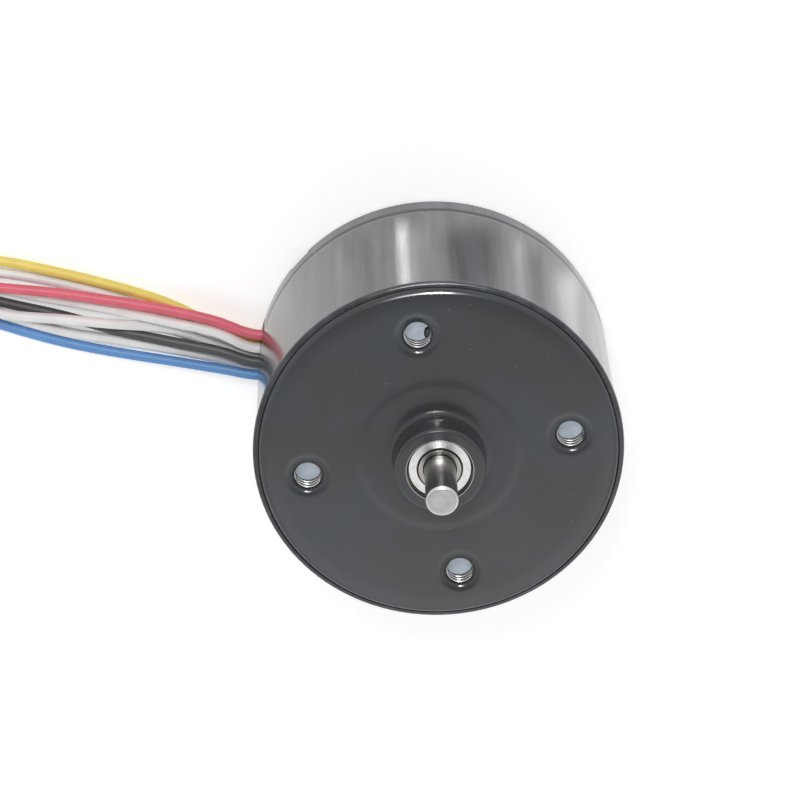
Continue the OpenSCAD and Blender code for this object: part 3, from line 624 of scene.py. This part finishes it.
def bare_metal(name, colour, gloss, along=None, grain=2400, relief=2 * MICRON):
    """Bare metal with a grain that runs the way that along says."""
    finish = Finish(name, {"Metallic": 1.0})
    tone = finish.noise(380, detail=3, roughness=0.6)
    fine = finish.noise(grain, detail=3, roughness=0.6, along=along)
    finish.colour(tone.between(0.3, 0.7), shade(colour, 0.85), shade(colour, 1.08))
    finish.rough(gloss - 0.06 + tone * 0.1 + fine * 0.08)
    return finish.bump(fine * relief)


def wound_copper(name, colour):
    """Enamelled wire wound side by side: round ridges across the tooth, with painted shade in the
    grooves between turns.
    """
    finish = Finish(name, {"Metallic": 0.85, "Coat Weight": 0.5})
    turns = finish.maths("SINE", finish.reach() * (2 * math.pi / WINDING_PITCH))
    tone = finish.noise(700, detail=3, roughness=0.6)
    # The colour follows the ridges: painted shade in the grooves and lighter crests.
    finish.colour((turns * 0.35 + tone).between(0.1, 0.9), shade(colour, 0.62), shade(colour, 1.1))
    finish.rough(0.24 + tone * 0.12)
    return finish.bump(turns * (30 * MICRON))


def floor_card():
    """Pale card that glows to the camera and in reflections, and keeps the motor's shadow."""
    finish = Finish("floor_card", {"Base Color": FLOOR_COLOUR, "Roughness": 0.6})
    path = finish.node("ShaderNodeLightPath")
    camera, glossy, through = (
        Signal(finish, path.outputs[ray])
        for ray in ("Is Camera Ray", "Is Glossy Ray", "Is Transmission Ray"))
    seen = finish.larger(finish.larger(camera, glossy), through)
    glow = finish.add("ShaderNodeEmission", None, {"Strength": FLOOR_GLOW})
    lit = finish.add("ShaderNodeAddShader", None, {0: finish.surface, 1: glow})
    mixed = finish.add("ShaderNodeMixShader", None, {0: seen, 1: finish.surface, 2: lit})
    finish.set(finish.output, "Surface", mixed)
    return finish


def strip_light(start, run, side, gap, width, level):
    """Glow of a low strip on its upper face, soft at its sides and where it starts."""
    finish = Finish("strip_light", {"Base Color": (0, 0, 0), "Roughness": 1.0,
                                    "Emission Color": (1, 1, 1), "Emission Strength": level,
                                    "Specular IOR Level": 0.0})
    away = finish.vector("SUBTRACT", finish.place, start)
    aside = abs(finish.dot(away, side)).between(*(width * share for share in STRIP_SIDE))
    out = finish.dot(away, run).between(*(gap * share for share in STRIP_START))
    under = finish.add("ShaderNodeNewGeometry", output="Backfacing")
    finish.set(finish.shader, "Alpha", (1 - aside) * (1 - under) * out)
    return finish


# Shapes


def dress(node, finish):
    """Gives a CAD node its finish."""
    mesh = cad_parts[node].data
    mesh.materials.clear()
    mesh.materials.append(finish.material)


def set_down(name, shape, finish):
    """Turns a bmesh into an object of the scene."""
    mesh = bpy.data.meshes.new(name)
    shape.to_mesh(mesh)
    shape.free()
    mesh.materials.append(finish.material)
    made = bpy.data.objects.new(name, mesh)
    bpy.context.scene.collection.objects.link(made)
    return made


def lathe(shape, outline, steps):
    """Full turn of a closed outline of (radius, height) about the Z axis."""
    ring = [shape.verts.new((r, 0, z)) for r, z in outline]
    edges = [shape.edges.new((a, b)) for a, b in zip(ring, ring[1:] + ring[:1])]
    bmesh.ops.spin(shape, geom=ring + edges, cent=(0, 0, 0), axis=(0, 0, 1), dvec=(0, 0, 0),
                   angle=2 * math.pi, steps=steps, use_merge=True)
    bmesh.ops.remove_doubles(shape, verts=shape.verts, dist=1e-7)
    bmesh.ops.recalc_face_normals(shape, faces=shape.faces)
    for face in shape.faces:
        face.smooth = True


def helix(shape, centre, corners, pitch, turns, steps):
    """Ridge with a three-cornered section, wound about an upright axis, so many steps a turn."""
    x, y = centre
    section = [shape.verts.new((x + r, y, z)) for r, z in corners]
    face = shape.faces.new(section)
    bmesh.ops.spin(shape, geom=section + list(face.edges) + [face], cent=(x, y, 0),
                   axis=(0, 0, 1), dvec=(0, 0, pitch / steps), angle=2 * math.pi * turns,
                   steps=round(turns * steps), use_merge=False)


def close_ends(shape):
    """Closes what is open, with the faces outwards."""
    bmesh.ops.remove_doubles(shape, verts=shape.verts, dist=1e-8)
    bmesh.ops.holes_fill(shape, edges=[e for e in shape.edges if e.is_boundary], sides=0)
    bmesh.ops.recalc_face_normals(shape, faces=shape.faces)


def flat_card(long, wide):
    """Level card with its middle at the origin."""
    shape = bmesh.new()
    bmesh.ops.create_grid(shape, x_segments=1, y_segments=1, size=0.5)
    bmesh.ops.scale(shape, vec=(long, wide, 1), verts=shape.verts)
    return shape


def round_lead(name, line, radius, finish):
    """Lead along a line of points."""
    data = bpy.data.curves.new(name, "CURVE")
    data.dimensions = "3D"
    data.bevel_depth = radius
    data.bevel_resolution = 5
    data.resolution_u = 3
    data.use_fill_caps = True
    spline = data.splines.new("BEZIER")
    spline.bezier_points.add(len(line) - 1)
    for point, place in zip(spline.bezier_points, line):
        point.co = place
        point.handle_left_type = point.handle_right_type = "AUTO"
    data.materials.append(finish.material)
    piece = bpy.data.objects.new(name, data)
    bpy.context.scene.collection.objects.link(piece)
    return piece


# Sizes and colours


class MotorSizes(PropertyGroup):
    screw_count: IntProperty(
        name="Holes", description="Number of face holes", default=4, min=1)
    screw_circle: FloatProperty(
        name="Hole circle", description="Diameter of the circle of face holes",
        default=0.025, unit="LENGTH", precision=5)
    screw_radius: FloatProperty(
        name="Hole radius", description="Radius of a face hole's wall",
        default=0.00125, unit="LENGTH", precision=5)
    thread_pitch: FloatProperty(
        name="Thread pitch", description="Pitch of the face holes' thread",
        default=0.0005, unit="LENGTH", precision=5)
    thread_depth: FloatProperty(
        name="Thread height", description="How far a thread's crest stands in",
        default=0.00006, unit="LENGTH", precision=5)
    opening_radius: FloatProperty(
        name="Opening radius", description="Radius of the boss's opening",
        default=0.00315, unit="LENGTH", precision=5)
    drop_place: FloatVectorProperty(
        name="Resin drop", description="Place of the drop seen in a hole",
        default=(0.00098, 0.0117), size=2, unit="LENGTH", precision=5)
    drop_size: FloatVectorProperty(
        name="Drop size", description="Width and length of the drop",
        default=(0.00088, 0.00140), size=2, unit="LENGTH", precision=5)
    lead_radius: FloatProperty(
        name="Lead radius", description="Radius of an insulated lead",
        default=WIRE_R, unit="LENGTH", precision=5)


class MotorColours(PropertyGroup):
    cover: FloatVectorProperty(
        name="Front cover", description="Coat of the front cover",
        default=(0.053, 0.0555, 0.0615), size=3, subtype="COLOR")
    can: FloatVectorProperty(
        name="Can", description="Coat of the can's wall",
        default=(0.038, 0.0445, 0.0545), size=3, subtype="COLOR")
    steel: FloatVectorProperty(
        name="Steel", description="Shaft and bearing steel",
        default=(0.74, 0.735, 0.725), size=3, subtype="COLOR")
    film: FloatVectorProperty(
        name="Film", description="Milky insulating film behind the holes",
        default=(0.64, 0.72, 0.81), size=3, subtype="COLOR")
    yellow: FloatVectorProperty(
        name="Yellow lead", description="Insulation of the yellow lead",
        default=(0.97, 0.75, 0.16), size=3, subtype="COLOR")
    red: FloatVectorProperty(
        name="Red lead", description="Insulation of the red lead",
        default=(0.82, 0.14, 0.20), size=3, subtype="COLOR")
    black: FloatVectorProperty(
        name="Black lead", description="Insulation of the black lead",
        default=(0.078, 0.079, 0.082), size=3, subtype="COLOR")
    blue: FloatVectorProperty(
        name="Blue lead", description="Insulation of the blue lead",
        default=(0.13, 0.33, 0.70), size=3, subtype="COLOR")
    white: FloatVectorProperty(
        name="White leads", description="Insulation of the white leads",
        default=(0.92, 0.915, 0.905), size=3, subtype="COLOR")


class MotorStudio(PropertyGroup):
    camera_azimuth: FloatProperty(
        name="Camera azimuth", description="Turn of the camera round the shaft",
        default=math.radians(83.24), subtype="ANGLE")
    camera_elevation: FloatProperty(
        name="Camera elevation", description="Height of the camera as an angle",
        default=math.radians(64.6396), subtype="ANGLE")
    camera_roll: FloatProperty(
        name="Camera roll", description="Turn of the camera about its own axis",
        default=math.radians(2.9196), subtype="ANGLE")
    camera_distance: FloatProperty(
        name="Camera distance", description="From the aim point to the camera",
        default=0.34864, unit="LENGTH", precision=5)
    camera_aim: FloatVectorProperty(
        name="Aim", description="Point in the middle of the picture",
        default=(-0.0027926, 0.0052080, 0.0189045), size=3, unit="LENGTH", precision=5)
    camera_lens: FloatProperty(
        name="Lens", description="Focal length in millimetres on a 36 mm sensor",
        default=167.028)
    key_power: FloatProperty(
        name="Key lamp", description="Power of the lamp near the camera",
        default=0.45, unit="POWER")
    glint_power: FloatProperty(
        name="Glint lamp", description="Power of the lamp that only edges mirror",
        default=1.35, unit="POWER")
    sky: FloatProperty(
        name="Studio light", description="Strength of the even light from all round",
        default=0.78)
    back_light: FloatProperty(
        name="Back light", description="Extra strength of the light behind the motor",
        default=0.75)
    strip_light: FloatProperty(
        name="Strips", description="Strength of the strips that the walls mirror",
        default=1.0)
    overhead_shade: FloatProperty(
        name="Overhead shade", description="Share of the light missing overhead",
        default=0.85, min=0, max=1)


class MOTOR_OT_camera(Operator):
    """Sets the camera at the picture's place"""

    bl_idname = "motor.camera"
    bl_label = "Camera"

    def execute(self, context):
        studio = context.scene.motor_studio
        azimuth, elevation = studio.camera_azimuth, studio.camera_elevation
        back = Vector((math.cos(azimuth) * math.cos(elevation),
                       math.sin(azimuth) * math.cos(elevation), math.sin(elevation)))
        level = Vector((math.sin(azimuth), -math.cos(azimuth), 0))
        # The picture is upside down, so that the can's near wall is at its top
        top = back.cross(level)
        turn = studio.camera_roll
        right = math.cos(turn) * level - math.sin(turn) * top
        up = math.sin(turn) * level + math.cos(turn) * top
        place = Vector(studio.camera_aim) + studio.camera_distance * back
        data = bpy.data.cameras.new("camera")
        data.lens = studio.camera_lens
        data.sensor_width = 36
        data.clip_start, data.clip_end = 0.01, 20
        camera = bpy.data.objects.new("camera", data)
        turned = Matrix((right, up, back)).transposed().to_4x4()
        camera.matrix_world = Matrix.Translation(place) @ turned
        context.scene.collection.objects.link(camera)
        context.scene.camera = camera
        return {"FINISHED"}


class MOTOR_OT_leads(Operator):
    """Lays the eight leads over the table, round their coil and into the plug"""

    bl_idname = "motor.leads"
    bl_label = "Leads"

    def execute(self, context):
        colours, sizes = context.scene.motor_colours, context.scene.motor_sizes
        skins = {name: insulation(name + "_skin", getattr(colours, name))
                 for name in ("yellow", "red", "black", "blue", "white")}
        for lead in LEADS:
            skin = lead.split("_")[0]
            many = "s" if skin == "white" else ""
            line = lead_line(lead)
            piece = round_lead("lead_" + lead, line, sizes.lead_radius, skins[skin])
            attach(piece, HOUSING)
            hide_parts(*[f"{skin}_{part}{many}" for part in ("wire", "coil", "tail")])
            long = sum((b - a).length for a, b in zip(line, line[1:]))
        return {"FINISHED"}


class MOTOR_OT_case(Operator):
    """Coats the front cover, the can, the rear cover and the grommet"""

    bl_idname = "motor.case"
    bl_label = "Case"

    def execute(self, context):
        colours, sizes = context.scene.motor_colours, context.scene.motor_sizes
        cover = cover_coat("cover_coat", colours.cover, gloss=0.18, circle=sizes.screw_circle,
                           hole=sizes.screw_radius, opening=sizes.opening_radius)
        can = can_coat("can_coat", colours.can, gloss=0.18, seam=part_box("motor_can")[0].z)
        dress("front_cover", cover)
        dress("motor_can", can)
        dress("rear_cover", can)
        dress("wire_grommet", moulding("grommet_plastic", (0.022, 0.023, 0.026), gloss=0.5))
        return {"FINISHED"}


# Thread of a face hole: its ends under the face, its foot in the wall, and half its foot's height
THREAD_ENDS = (0.00165, 0.00006)
THREAD_FOOT = 20 * MICRON
THREAD_HALF_SHARE = 0.13
THREAD_STEPS = 40


class MOTOR_OT_threads(Operator):
    """Cuts the look of a thread into the face holes"""

    bl_idname = "motor.threads"
    bl_label = "Face threads"

    def execute(self, context):
        sizes, colours = context.scene.motor_sizes, context.scene.motor_colours
        low, high = (FACE_Z - depth for depth in THREAD_ENDS)
        half = sizes.thread_pitch * THREAD_HALF_SHARE
        root = sizes.screw_radius + THREAD_FOOT
        crest = sizes.screw_radius - sizes.thread_depth
        corners = [(root, low), (root, low + 2 * half), (crest, low + half)]
        turns = (high - low - 2 * half) / sizes.thread_pitch
        shape = bmesh.new()
        for i in range(sizes.screw_count):
            spot = bearing(360 * i / sizes.screw_count) * (sizes.screw_circle / 2)
            helix(shape, (spot.x, spot.y), corners, sizes.thread_pitch, turns, THREAD_STEPS)
        close_ends(shape)
        finish = bare_metal("thread_finish", shade(colours.steel, 0.85), gloss=0.18,
                            relief=1 * MICRON)
        piece = set_down("face_threads", shape, finish)
        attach(piece, HOUSING)
        return {"FINISHED"}


# Outlines of the drop and of the dark ring of painted shade round it: radius as a share of the
# drop's, and height in metres
RING_SHADE_OUTLINE = ((1.0, 0.0), (1.0, 60 * MICRON), (0.80, 100 * MICRON), (0.80, 0.0))
DROP_OUTLINE = ((0.0, 0.0), (0.81, 0.0), (0.81, 50 * MICRON), (0.5, 120 * MICRON),
                (0.0, 150 * MICRON))
DROP_STEPS = 48


class MOTOR_OT_drop(Operator):
    """Sets a drop of clear resin on the film behind one face hole, with a dark ring of painted
    shade round its rim
    """

    bl_idname = "motor.drop"
    bl_label = "Resin drop"

    def execute(self, context):
        sizes = context.scene.motor_sizes
        wide, long = sizes.drop_size
        # Painted shade: a near-black ring stands for the dark rim of the clear drop.
        rim = moulding("drop_ring_shade_finish", (0.012, 0.013, 0.02), gloss=0.2)
        resin = moulding("resin_finish", (0.17, 0.19, 0.22), gloss=0.12)
        for name, finish, outline in (("drop_ring_shade", rim, RING_SHADE_OUTLINE),
                                      ("resin_drop", resin, DROP_OUTLINE)):
            shape = bmesh.new()
            lathe(shape, outline, DROP_STEPS)
            bmesh.ops.scale(shape, vec=(wide / 2, long / 2, 1), verts=shape.verts)
            bmesh.ops.translate(shape, vec=(*sizes.drop_place, FILM_Z), verts=shape.verts)
            piece = set_down(name, shape, finish)
            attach(piece, HOUSING)
        return {"FINISHED"}


class MOTOR_OT_bearings(Operator):
    """Finishes the bearings, their shields, balls and cages"""

    bl_idname = "motor.bearings"
    bl_label = "Bearings"

    def execute(self, context):
        steel = context.scene.motor_colours.steel
        finishes = {
            # The outer ring is darkened to 0.22 of the steel: painted shade of its recess below the
            # boss's face.
            "outer_ring": bare_metal("outer_ring_shade_finish", shade(steel, 0.22), gloss=0.20),
            "inner_ring": faced_steel("inner_ring_finish", (0.46, 0.435, 0.405), 0.26,
                                      *INNER_RING_FACE),
            "shields": faced_steel("shield_finish", shade(steel, 1.08), 0.27, *SHIELD_FACE),
            "balls": bare_metal("ball_finish", (0.82, 0.83, 0.84), gloss=0.08, grain=800,
                                relief=0.2 * MICRON),
            "cage": bare_metal("cage_finish", (0.62, 0.44, 0.18), gloss=0.32),
        }
        for end in ("front", "rear"):
            for part, finish in finishes.items():
                dress(f"{end}_bearing_{part}", finish)
        return {"FINISHED"}


class MOTOR_OT_rotor(Operator):
    """Finishes the shaft, the rotor's core, its magnet and the spacers"""

    bl_idname = "motor.rotor"
    bl_label = "Rotor"

    def execute(self, context):
        steel = context.scene.motor_colours.steel
        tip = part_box("rotor_shaft")[1]
        dress("rotor_shaft", ground_steel("shaft_finish", steel, 0.31, tip.z, tip.x - TIP_BEVEL))
        dress("rotor_core", bare_metal("core_finish", (0.40, 0.41, 0.43), gloss=0.4))
        dress("rotor_magnet", moulding("magnet_finish", (0.06, 0.06, 0.066), gloss=0.55,
                                       grain=5000))
        spacer = bare_metal("spacer_finish", (0.62, 0.46, 0.20), gloss=0.3, along=(1, 1, 8))
        dress("front_spacer", spacer)
        dress("rear_spacer", spacer)
        return {"FINISHED"}


class MOTOR_OT_stator(Operator):
    """Finishes what is inside the can: the stator, its board and the insulation"""

    bl_idname = "motor.stator"
    bl_label = "Stator and board"

    def execute(self, context):
        film = context.scene.motor_colours.film
        dress("front_insulator", milky_film("film", film, glow=0.30))
        dress("rear_insulator", moulding("fish_paper_finish", (0.66, 0.61, 0.45), gloss=0.7,
                                         grain=4000))
        dress("stator_core", bare_metal("lamination_finish", (0.45, 0.46, 0.48), gloss=0.38,
                                        along=(1, 1, 40), grain=300, relief=20 * MICRON))
        bobbin = moulding("bobbin_finish", (0.80, 0.77, 0.68), gloss=0.5)
        dress("front_bobbin", bobbin)
        dress("rear_bobbin", bobbin)
        dress("stator_windings", wound_copper("winding_finish", (0.78, 0.30, 0.11)))
        dress("circuit_board", moulding("board_finish", (0.02, 0.17, 0.075), gloss=0.3,
                                        grain=1500))
        dress("hall_sensors", moulding("sensor_finish", (0.02, 0.02, 0.022), gloss=0.45))
        dress("board_chips", moulding("chip_finish", (0.42, 0.33, 0.22), gloss=0.55, grain=6000))
        tin = bare_metal("tin_finish", (0.76, 0.77, 0.79), gloss=0.25)
        for node in ("winding_pins", "solder_joints", "wave_washer"):
            dress(node, tin)
        dress("lead_pins", bare_metal("pin_finish", (0.80, 0.50, 0.28), gloss=0.28))
        return {"FINISHED"}


class MOTOR_OT_plug(Operator):
    """Finishes the plug, its contacts and the tie round the coil"""

    bl_idname = "motor.plug"
    bl_label = "Plug and tie"

    def execute(self, context):
        dress("plug_housing", moulding("plug_finish", (0.82, 0.80, 0.73), gloss=0.38))
        dress("plug_contacts", bare_metal("contact_finish", (0.74, 0.62, 0.36), gloss=0.24))
        dress("coil_tie", moulding("tie_finish", (0.022, 0.022, 0.024), gloss=0.5, grain=3600,
                                   relief=6 * MICRON))
        return {"FINISHED"}


class MOTOR_OT_stage(Operator):
    """Makes the pale floor, the even studio light, its two lamps and the strips"""

    bl_idname = "motor.stage"
    bl_label = "Stage"

    def execute(self, context):
        studio = context.scene.motor_studio
        floor = set_down("floor", flat_card(2 * FLOOR_HALF, 2 * FLOOR_HALF), floor_card())
        floor.location.z = -FLOOR_DROP
        context.scene.world = self.studio_light(studio)
        self.lamp(context, "key", azimuth=92, elevation=52, size=0.11, power=studio.key_power)
        glint = self.lamp(context, "glint", azimuth=79, elevation=50, size=0.05,
                          power=studio.glint_power)
        glint.visible_diffuse = False
        for wall, place, width, level in STRIPS:
            self.strip(studio, wall, place, width, level * studio.strip_light)
        context.scene.view_settings.view_transform = "Standard"
        return {"FINISHED"}

    def studio_light(self, studio):
        """Even light that the camera sees as white."""
        world = bpy.data.worlds.new("studio")
        world.use_nodes = True
        sky = Shading(world.node_tree)
        seen = sky.add("ShaderNodeLightPath", output="Is Camera Ray")
        way = sky.add("ShaderNodeTexCoord", output="Generated")
        overhead = sky.dot(way, OVERHEAD).between(*OVERHEAD_EDGES)
        behind = sky.dot(way, BEHIND).between(*BEHIND_EDGES)
        level = (studio.sky + behind * studio.back_light) * (1 - overhead * studio.overhead_shade)
        glow = sky.add("ShaderNodeBackground", None,
                       {"Color": (1, 1, 1), "Strength": sky.larger(level, seen)})
        sky.node("ShaderNodeOutputWorld", None, {"Surface": glow})
        return world

    def strip(self, studio, wall, place, width, level):
        """Low strip that only reflections see, and that the wall mirrors at that bearing."""
        radius, gap, end, height = wall
        aim = 2 * place - math.degrees(studio.camera_azimuth)
        start, run, side = radius * bearing(place), bearing(aim), bearing(aim + 90)
        near, far = start + gap * run, start + end * run
        shape = flat_card((far - near).length, width)
        turned = Matrix.Rotation(math.radians(aim), 3, "Z")
        bmesh.ops.rotate(shape, matrix=turned, verts=shape.verts)
        bmesh.ops.translate(shape, vec=(near + far) / 2 + Vector((0, 0, height)),
                            verts=shape.verts)
        card = set_down("strip", shape, strip_light(start, run, side, gap, width, level))
        card.visible_camera = card.visible_diffuse = False
        card.visible_shadow = card.visible_transmission = False

    def lamp(self, context, name, azimuth, elevation, size, power):
        """Round soft lamp that looks at the motor from that direction."""
        data = bpy.data.lights.new(name, "AREA")
        data.shape = "DISK"
        data.size = size
        data.energy = power
        lamp = bpy.data.objects.new(name, data)
        away = bearing(azimuth) * math.cos(math.radians(elevation))
        away.z = math.sin(math.radians(elevation))
        lamp.location = LIT_POINT + LAMP_DISTANCE * away
        lamp.rotation_mode = "QUATERNION"
        lamp.rotation_quaternion = (-away).to_track_quat("-Z", "Y")
        context.scene.collection.objects.link(lamp)
        return lamp


STEPS = (MOTOR_OT_camera, MOTOR_OT_leads, MOTOR_OT_case, MOTOR_OT_threads, MOTOR_OT_drop,
         MOTOR_OT_bearings, MOTOR_OT_rotor, MOTOR_OT_stator, MOTOR_OT_plug, MOTOR_OT_stage)


class MOTOR_PT_panel(Panel):
    """Lists the motor's steps in the sidebar"""

    bl_idname = "MOTOR_PT_panel"
    bl_label = "Micro brushless motor"
    bl_space_type = "VIEW_3D"
    bl_region_type = "UI"
    bl_category = "Motor"

    def draw(self, context):
        scene = context.scene
        for step in STEPS:
            self.layout.operator(step.bl_idname)
        for group in (scene.motor_sizes, scene.motor_colours, scene.motor_studio):
            box = self.layout.box()
            for name in group.__annotations__:
                box.prop(group, name)


CLASSES = (MotorSizes, MotorColours, MotorStudio, *STEPS, MOTOR_PT_panel)


def register():
    for cls in CLASSES:
        bpy.utils.register_class(cls)
    bpy.types.Scene.motor_sizes = PointerProperty(type=MotorSizes)
    bpy.types.Scene.motor_colours = PointerProperty(type=MotorColours)
    bpy.types.Scene.motor_studio = PointerProperty(type=MotorStudio)


def unregister():
    del bpy.types.Scene.motor_studio
    del bpy.types.Scene.motor_colours
    del bpy.types.Scene.motor_sizes
    for cls in reversed(CLASSES):
        bpy.utils.unregister_class(cls)


def main():
    register()
    for step in STEPS:
        name = step.bl_idname.removeprefix("motor.")
        getattr(bpy.ops.motor, name)()


if __name__ == "__main__":
    main()
